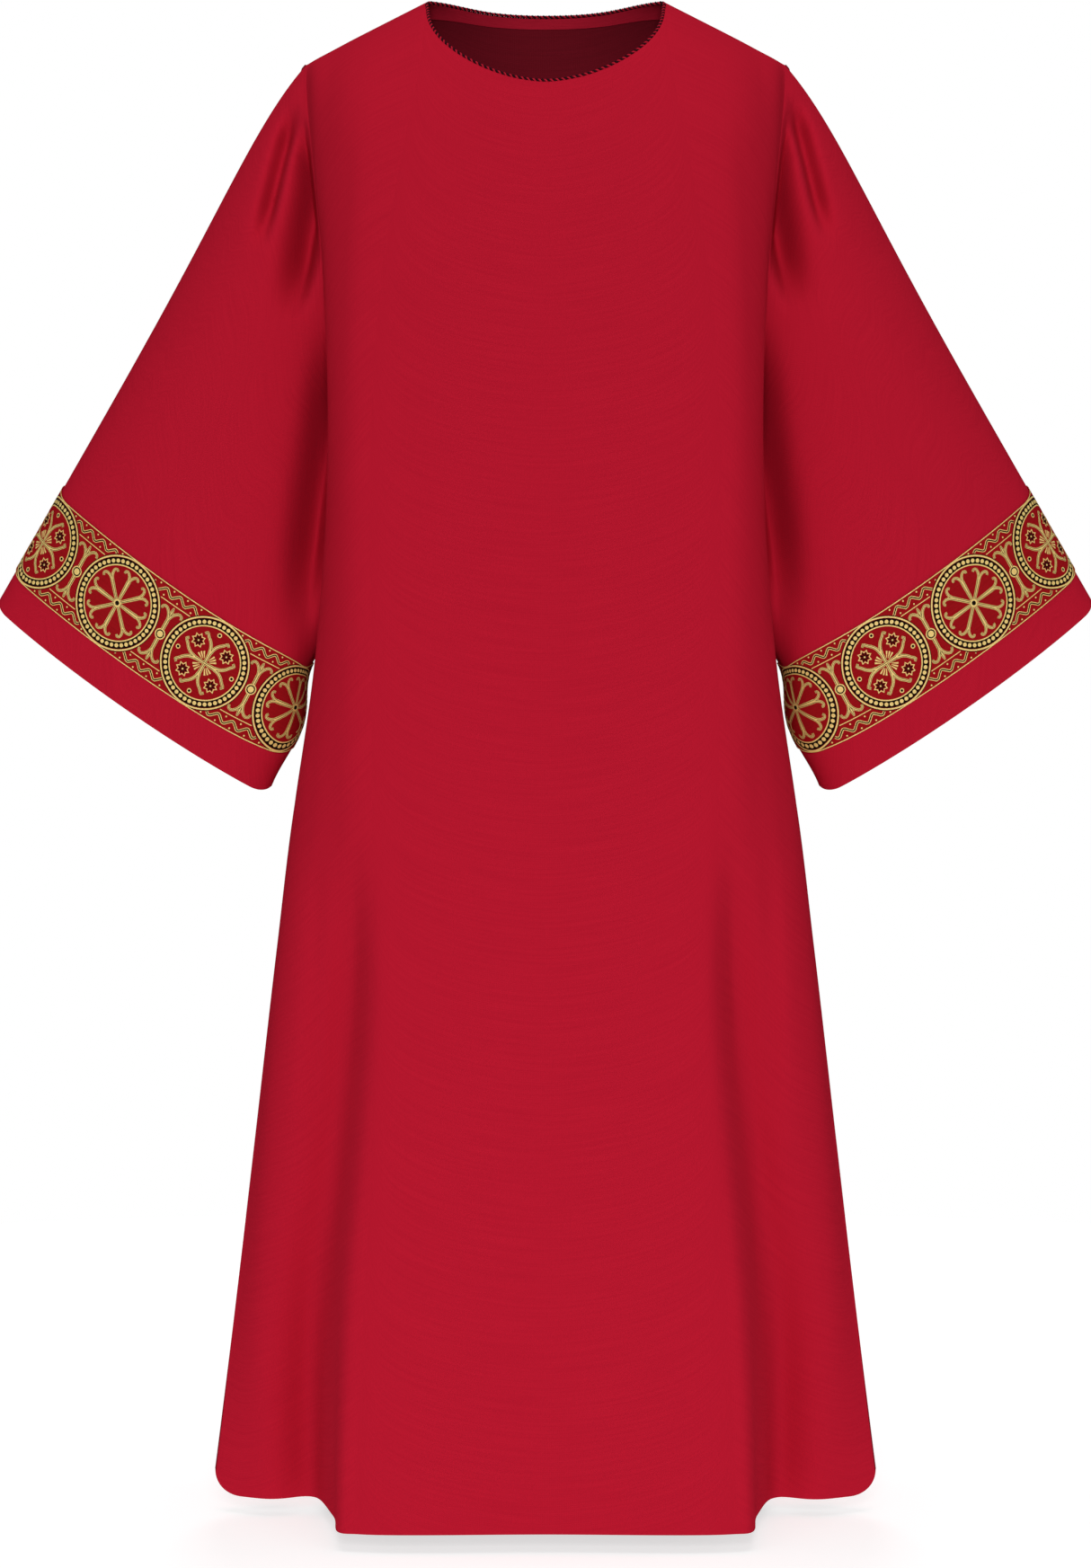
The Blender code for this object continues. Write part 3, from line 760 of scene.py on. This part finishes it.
# %% [markdown]
# ## The galloon
#
# A galloon is woven flat and sewn round the sleeve, joined under the arm. Its band is a thin
# shell over the sleeve's own rows. Flat positions on it are u, along the band from the fold
# over the arm, and v, across it, in millimetres. One function sets a flat position on the
# curved band, so that the whole pattern can be charted flat.

# %% Band surfaces
BAND_GAP = 0.0003
BAND_WALL = 0.0007
MM = 0.001
rows = np.s_[ROWS_TO_GALLOON : ROWS_TO_GALLOON + GALLOON_ROWS + 1]


def band_mapper(grid, lean):
    """Reads the band's grid between its points: u picks the column, v the row, h the height."""
    centre = grid[GALLOON_ROWS // 2]
    run = run_of(centre) / MM

    def place(points):
        column = np.interp(points[:, 0] % run[-1], run, np.arange(len(run)))
        row = (0.5 - points[:, 1] * MM / GALLOON_WIDTH) * GALLOON_ROWS
        column = np.clip(column, 0, len(run) - 1.001)
        row = np.clip(row, 0, GALLOON_ROWS - 0.001)
        i, j = row.astype(int), column.astype(int)
        p, q = (row - i)[:, None], (column - j)[:, None]
        near = (1 - p) * (1 - q), p * (1 - q), (1 - p) * q, p * q
        spots = (i, j), (i + 1, j), (i, j + 1), (i + 1, j + 1)
        base = sum(share * grid[spot] for share, spot in zip(near, spots))
        way = unit(sum(share * lean[spot] for share, spot in zip(near, spots)))
        return base + way * (points[:, 2, None] * MM)

    return place, run[-1]


bands = {}
for name, (grid, lean) in sleeves.items():
    name = name.replace("sleeve", "galloon")
    surface = grid[rows] + lean[rows] * (BAND_GAP + BAND_WALL)
    band = shell(name + "_band", surface, lean[rows], 0.0, BAND_WALL, ground, wraps=True)
    dress(band, name)
    place, around = band_mapper(surface, lean[rows])
    bands[name] = (band, place)
    print(name, "is", round(around, 1), "mm round")

# %% [markdown]
# ## Charting the pattern
#
# Pearl-bordered roundels with crosses in them are an old pattern of woven church galloons.
# Every line of it is a stroke: a row of points with a width. A motif is drawn three times over
# in ever narrower strokes, gold, dark, gold, each a little higher, which gives the woven
# outlines. Round pearls and dots are small eight-sided plates.

# %% Strokes and dots
GOLD_EDGE, DARK_LINE, GOLD_CORE = (0.0, 0.10), (0.05, 0.15), (0.10, 0.20)
STEP = 2.2
CLIP = 0.5
THINNEST = 0.25
SPLINE_POINTS = 12
FULL_TURN = 360.0
Stroke = namedtuple("Stroke", "points width heights golden")
Dots = namedtuple("Dots", "centres radius heights golden")


def circle(radius, centre=(0.0, 0.0)):
    """Points round a circle, a fixed step apart."""
    count = max(8, int(math.radians(FULL_TURN) * radius / STEP)) + 1
    angle = np.radians(np.linspace(0.0, FULL_TURN, count))
    return np.array(centre) + radius * np.stack([np.cos(angle), np.sin(angle)], axis=-1)


def spline(points):
    """A smooth line through a few points, by the cubic that passes through each."""
    points = np.array(points, dtype=float)
    knots = np.arange(len(points), dtype=float)
    at = np.linspace(0, knots[-1], SPLINE_POINTS)
    slopes = np.gradient(points, axis=0)
    return np.stack([smooth(at, knots, points[:, k], slopes[:, k]) for k in (0, 1)], axis=-1)


def turned(points, degrees):
    """Points turned about the origin."""
    c, s = math.cos(math.radians(degrees)), math.sin(math.radians(degrees))
    return np.asarray(points, dtype=float) @ np.array([[c, s], [-s, c]])


def outlined(points, width, edge=0.45, line=0.5):
    """Gold, dark and gold strokes over each other, each narrower and higher."""
    width = np.broadcast_to(np.asarray(width, dtype=float), len(points))
    widths = (width, width - 2 * edge, width - 2 * edge - 2 * line)
    layers = zip(widths, (GOLD_EDGE, DARK_LINE, GOLD_CORE), (True, False, True))
    return [Stroke(points, np.maximum(wide, THINNEST), heights, golden)
            for wide, heights, golden in layers]


def straight(start, end, count):
    """Points evenly along the u axis."""
    return np.stack([np.linspace(start, end, count), np.zeros(count)], axis=-1)


def remade(part, change):
    """The part, stroke or dots, with its flat points changed by a function."""
    key = "points" if isinstance(part, Stroke) else "centres"
    return part._replace(**{key: change(getattr(part, key))})


def mirrored(parts):
    """The parts and their mirror images across the u axis."""
    flip = np.array([1.0, -1.0])
    return parts + [remade(part, lambda flat: flat * flip) for part in parts]


def spun(parts, degrees):
    """The parts turned about the origin."""
    return [remade(part, lambda flat: turned(flat, degrees)) for part in parts]


def moved(parts, by):
    """The parts moved in the flat plane."""
    return [remade(part, lambda flat: flat + np.array(by)) for part in parts]


# %% Motifs
RING = 40.0
PITCH = 91.0
PHASE = 30.0
SHRINK = 0.97
PEARLS = 48
HUB = np.zeros((1, 2))
CURL = [(20.2, 0.2), (23.6, 0.9), (26.4, 2.5), (27.9, 4.8), (27.2, 6.8), (25.3, 7.0)]
PRONG = [(10.0, 0.5), (14.5, 1.5), (18.6, 4.0), (21.8, 7.6), (24.4, 10.2), (22.6, 12.2)]
LEAF = [(13.5, 0.2), (17.2, 1.2), (20.6, 3.4), (22.8, 6.6), (21.8, 9.4), (19.4, 9.8)]


def pearl_ring():
    """The roundel's border: a dark ring with pearls between two gold rings."""
    angle = np.arange(PEARLS) * FULL_TURN / PEARLS
    pearls = np.stack([turned([(35.6, 0.0)], a)[0] for a in angle])
    return [
        Stroke(circle(RING), 2.0, GOLD_EDGE, False),
        Stroke(circle(RING - 0.3), 1.3, DARK_LINE, True),
        Stroke(circle(37.3), 2.6, GOLD_EDGE, False),
        Stroke(circle(34.9), 2.6, GOLD_EDGE, False),
        Stroke(circle(33.0), 2.0, GOLD_EDGE, False),
        Stroke(circle(32.2), 1.0, DARK_LINE, True),
        Dots(pearls, 1.75, GOLD_CORE, True),
    ]


def wheel_cross():
    """Eight arms from the centre, each forked into two curls."""
    parts = []
    for k in range(8):
        stem = straight(2.4, 21.0, 9)
        width = np.linspace(2.5, 3.2 if k % 2 else 3.8, 9)
        arm = outlined(stem, width)
        arm += mirrored(outlined(spline(CURL), np.linspace(2.5, 1.9, SPLINE_POINTS), 0.4, 0.35))
        parts += spun(arm, 45.0 * k)
    return parts + [Dots(HUB, 3.4, (0.1, 0.22), True), Dots(HUB, 2.0, (0.15, 0.26), False)]


def rosette():
    """An eight-petalled flower: a gold outline round a dark star with a gold eye."""
    angle = np.arange(0, 361, 22.5)
    reach = np.where(np.arange(17) % 2, 4.1, 6.2)
    outline = np.stack([turned([(r, 0.0)], a)[0] for r, a in zip(reach, angle)])
    parts = [Stroke(outline, 0.75, GOLD_EDGE, True)]
    for k in range(8):
        petal = np.array([(0.9, 0.0), (2.6, 0.0), (4.7, 0.0)])
        parts += spun([Stroke(petal, np.array([0.5, 1.6, 0.4]), DARK_LINE, False)], 45.0 * k)
    return parts + [Dots(HUB, 0.8, GOLD_CORE, True)]


def patonce_cross():
    """Four arms with two spreading prongs each, and a rosette between each pair of arms."""
    parts = []
    for k in range(4):
        stem = straight(0.0, 12.0, 6)
        arm = outlined(stem, np.linspace(2.6, 3.6, 6))
        arm += mirrored(outlined(spline(PRONG), np.linspace(2.9, 2.0, SPLINE_POINTS), 0.4, 0.4))
        arm += [Stroke(circle(1.7, (27.6, 0.0)), 0.8, GOLD_EDGE, True)]
        arm += [Dots(np.array([(27.6, 0.0)]), 1.2, DARK_LINE, False)]
        for spread in (30.0, 45.0, 60.0):
            ray = np.array([(4.4, 0.0), (7.6, 0.0), (10.6, 0.0)])
            arm += spun([Stroke(ray, np.array([0.4, 1.0, 1.5]), GOLD_CORE, True)], spread)
        arm += spun(moved(rosette(), (20.4, 0.0)), 45.0)
        parts += spun(arm, 90.0 * k)
    return parts


def spacer():
    """Between roundels: a ring with a stem to each side that ends in a lily."""
    stem = straight(4.2, 15.0, 7)
    half = outlined(stem, 3.2, 0.45, 0.55)
    half += mirrored(outlined(spline(LEAF), np.linspace(2.6, 2.0, SPLINE_POINTS), 0.4, 0.4))
    bud = straight(16.0, 25.0, 6)
    half += outlined(bud, np.array([1.6, 2.4, 3.0, 2.9, 2.2, 1.2]), 0.4, 0.5)
    ring = [Stroke(circle(4.3), 0.9, DARK_LINE, True), Dots(HUB, 4.0, GOLD_EDGE, False),
            Dots(HUB, 2.8, DARK_LINE, True)]
    return spun(half, 90.0) + spun(half, -90.0) + ring


print("a roundel has", len(pearl_ring() + patonce_cross()), "parts")

# %% [markdown]
# ## Laying the chart out along the band
#
# The two roundels take turns along the band. The first, with the cross, stands PHASE past the
# fold over the arm, and the chart is cut where the band is joined under the arm. Zigzags and
# thin lines fill the borders, and are cut where a roundel covers them.

# %% The chart
ZIGZAG = 13.9
ZIGZAG_LINE, ZIGZAG_HALF, ZIGZAG_STEEP = 33.2, 2.4, 1.35
OUTER_LINE, INNER_LINE = 39.3, 26.8
OUTER_DOTS, INNER_DOTS = 36.9, 29.5
BAYS = 22
half_around = around / 2 - CLIP


def outside_rings(points, margin):
    """True where a point lies clear of every roundel by that margin."""
    nearest = np.round((points[:, 0] - PHASE) / PITCH) * PITCH + PHASE
    return np.hypot(points[:, 0] - nearest, points[:, 1]) > RING * SHRINK + margin


def pieces_of(points, keep):
    """The unbroken runs of points that are kept."""
    cuts = np.flatnonzero(np.diff(keep.astype(int))) + 1
    runs = np.split(points, cuts)
    starts = np.split(keep, cuts)
    return [run for run, kept in zip(runs, starts) if kept[0] and len(run) > 1]


def border(side):
    """One edge of the band: two thin lines, the zigzag and the dots in its bays."""
    fine = np.arange(-half_around, half_around, 1.0)
    outer, inner = (np.stack([fine, np.full_like(fine, side * line)], axis=-1)
                    for line in (OUTER_LINE, INNER_LINE))
    parts = [Stroke(outer, 0.8, GOLD_CORE, True)]
    for run in pieces_of(inner, outside_rings(inner, 1.5)):
        parts.append(Stroke(run, 0.7, GOLD_EDGE, True))
    wave = np.abs((fine / ZIGZAG) % 1.0 - 0.5) * 4 - 1
    wave = np.clip(ZIGZAG_STEEP * wave, -1, 1) * ZIGZAG_HALF
    zigzag = np.stack([fine, side * (ZIGZAG_LINE + wave)], axis=-1)
    for run in pieces_of(zigzag, outside_rings(zigzag, 1.0)):
        parts += outlined(run, 2.2, 0.6, 0.5)[:2]
    bays = np.arange(-BAYS, BAYS + 1) * ZIGZAG
    for level_v, shift in ((OUTER_DOTS, 0.5), (INNER_DOTS, 0.0)):
        dots = np.stack([bays + shift * ZIGZAG, np.full(len(bays), side * level_v)], axis=-1)
        parts.append(Dots(dots[outside_rings(dots, 1.5)], 0.75, GOLD_CORE, True))
    return parts


chart = border(1) + border(-1)
roundels = int(half_around // PITCH) + 1
for k in range(-roundels, roundels + 1):
    motif = pearl_ring() + (wheel_cross() if k % 2 else patonce_cross())
    motif = [remade(part, lambda flat: flat * SHRINK) for part in motif]
    chart += moved(motif, (PHASE + k * PITCH, 0.0))
    chart += moved(spacer(), (PHASE + (k + 0.5) * PITCH, 0.0))
print("the chart has", len(chart), "strokes and groups of dots")

# %% [markdown]
# ## Weaving the chart
#
# Each stroke becomes a flat strip with sides: left and right of its line by half its width,
# low and high. Corners are widened by the mitre, so that a zigzag keeps its width. The strips
# and plates of one colour are joined into one piece a sleeve, and set on the curved band.

# %% Strips and plates
PLATE = 8
SHARPEST = 0.6


def strip(points, width, low, high):
    """Four points across at every point of the line, joined along it and closed at its ends."""
    closed = np.allclose(points[0], points[-1])
    if closed:
        points = points[:-1]
        ahead, behind = np.roll(points, -1, axis=0), np.roll(points, 1, axis=0)
    else:
        ahead = np.concatenate([points[1:], 2 * points[-1:] - points[-2:-1]])
        behind = np.concatenate([2 * points[:1] - points[1:2], points[:-1]])
    first, second = unit(points - behind), unit(ahead - points)
    along = unit(first + second)
    stretch = 1 / np.maximum(np.sum(along * first, axis=-1), SHARPEST)
    width = np.broadcast_to(width, len(ahead) + closed)[: len(points)]
    side = np.stack([-along[:, 1], along[:, 0]], axis=-1) * (stretch * width / 2)[:, None]
    flat = np.stack([points + side, points + side, points - side, points - side], axis=1)
    height = np.broadcast_to(np.array([low, high, high, low])[None, :, None], (len(points), 4, 1))
    made = np.concatenate([flat, height], axis=-1).reshape(-1, 3)
    index = wrapped(np.arange(len(made)).reshape(-1, 4))
    if closed:
        return made, quads_of(np.concatenate([index, index[:1]]))
    caps = np.array([index[0, :4], index[-1, 3::-1]])
    return made, np.concatenate([quads_of(index), caps])


def plates(centres, radius, low, high):
    """Eight-sided plates: a ring of points low and high, three quads above and three below."""
    angle = (np.arange(PLATE) + 0.5) * 2 * np.pi / PLATE
    ring = radius * np.stack([np.cos(angle), np.sin(angle)], axis=-1)
    flat = (centres[:, None] + ring).repeat(2, axis=0).reshape(-1, 2)
    height = np.tile(np.repeat([low, high], PLATE), len(centres))[:, None]
    k = np.arange(PLATE)
    sides = np.stack([k, (k + 1) % PLATE, (k + 1) % PLATE + PLATE, k + PLATE], axis=-1)
    lid = np.array([(0, 1, 2, 3), (0, 3, 4, 7), (4, 5, 6, 7)])
    one = np.concatenate([sides, lid + PLATE, lid[:, ::-1]])
    starts = (np.arange(len(centres)) * 2 * PLATE)[:, None, None]
    return np.concatenate([flat, height], axis=-1), (one[None] + starts).reshape(-1, 4)


def woven_chart(golden):
    """All strips and plates of one colour that lie on the band, as one flat mesh."""
    points, quads, total = [], [], 0
    for part in chart:
        if part.golden != golden:
            continue
        if isinstance(part, Dots):
            centres = part.centres[np.abs(part.centres[:, 0]) < half_around - part.radius]
            made = [plates(centres, part.radius, *part.heights)] if len(centres) else []
        else:
            keep = np.abs(part.points[:, 0]) < half_around
            width = np.broadcast_to(part.width, len(part.points))
            both = np.concatenate([part.points, width[:, None]], axis=-1)
            cut = pieces_of(both, keep)
            made = [strip(run[:, :2], run[:, 2], *part.heights) for run in cut]
        for more, faces in made:
            points.append(more)
            quads.append(faces + total)
            total += len(more)
    return np.concatenate(points), np.concatenate(quads)


for golden, colour, finish in ((True, "gold", gold), (False, "dark", dark)):
    flat, quads = woven_chart(golden)
    for name, (band, place) in bands.items():
        turn = quads if name.endswith("right") else quads[:, ::-1]
        uv = flat[turn][..., :2] * MM
        pattern = new_mesh(f"{name}_{colour}_threads", place(flat), turn, uv, finish)
        dress(pattern, name)
        print(pattern.name, len(turn), "quads")

# %% [markdown]
# ## Studio
#
# The photo was taken against plain white, in light from all round, with a soft key from the
# front, so folds show as gentle shade. A round pale floor, a plain white surround and a few
# large soft lights make the same, and the garment can be looked at from every side. The
# surround is white where it is seen and dimmer as a light, so that the folds keep their shade.

# %% Floor and light
FLOOR_Z = -1.3165
FLOOR_RADIUS = 2.2
FLOOR_MIDDLE = 0.02
FLOOR_RINGS = 8
FLOOR_SIDES = 48
GLOW = 0.66
AMBIENT = 0.12
WHITE = (1.0, 1.0, 1.0, 1.0)


def round_floor():
    """A disc: rings of points round the middle, radius times cosine and sine."""
    radius = np.linspace(FLOOR_MIDDLE, FLOOR_RADIUS, FLOOR_RINGS)[:, None]
    angle = np.linspace(0, 2 * np.pi, FLOOR_SIDES, endpoint=False)[None, :]
    x, y = radius * np.cos(angle), radius * np.sin(angle)
    points = np.stack([x, y, np.full_like(x, FLOOR_Z)], axis=-1).reshape(-1, 3)
    index = wrapped(np.arange(FLOOR_RINGS * FLOOR_SIDES).reshape(FLOOR_RINGS, FLOOR_SIDES))
    near = np.arange(0, FLOOR_SIDES // 2 - 1)
    far = FLOOR_SIDES - 1 - near
    middle = np.stack([near, near + 1, far - 1, far], axis=-1)
    quads = np.concatenate([quads_of(index), middle])
    paper = finish_of("pale_lit_floor", "#c0c0c0", Roughness=0.95, Specular_IOR_Level=0.0,
                            Emission_Strength=GLOW, Emission_Color=WHITE)
    return new_mesh("studio_floor", points, quads, np.zeros((len(quads), 4, 2)), paper)


floor = round_floor()
print("the floor faces up:", floor.data.polygons[0].normal.z > 0)
world = bpy.data.worlds.new("studio")
world.use_nodes = True
tree = world.node_tree
lit = tree.nodes["Background"]
lit.inputs["Color"].default_value = WHITE
lit.inputs["Strength"].default_value = AMBIENT
seen = add(tree, "ShaderNodeBackground", [("Color", WHITE), ("Strength", 1.0)])
path = add(tree, "ShaderNodeLightPath")
choice = add(tree, "ShaderNodeMixShader", feeds=[
    path.outputs["Is Camera Ray"], lit.outputs["Background"], seen.outputs["Background"]])
tree.links.new(choice.outputs["Shader"], tree.nodes["World Output"].inputs["Surface"])
bpy.context.scene.world = world
bpy.context.scene.view_settings.view_transform = "Standard"

CHEST = (0.0, 0.0, -0.65)
Light = namedtuple("Light", "name place aim size power")
LIGHTS = [
    Light("key_front", (0.0, -4.2, 0.35), CHEST, 1.0, 84.0),
    Light("fill_front", (0.0, -4.0, -0.6), CHEST, 1.4, 10.0),
    Light("key_back", (0.0, 4.2, 0.35), CHEST, 1.6, 90.0),
    Light("side_left", (4.2, 0.6, 0.2), CHEST, 1.6, 16.0),
    Light("side_right", (-4.2, 0.6, 0.2), CHEST, 1.6, 16.0),
    Light("overhead_soft", (0.0, -0.4, 2.8), (0.0, 0.0, -1.3), 2.6, 60.0),
]
for item in LIGHTS:
    data = bpy.data.lights.new(item.name, "AREA")
    data.size = item.size
    data.energy = item.power
    lamp = bpy.data.objects.new(item.name, data)
    lamp.location = item.place
    aim = np.array(item.aim) - item.place
    yaw, pitch = math.atan2(aim[0], aim[1]), math.atan2(np.hypot(aim[0], aim[1]), -aim[2])
    lamp.rotation_euler = (pitch, 0.0, -yaw)
    bpy.context.scene.collection.objects.link(lamp)
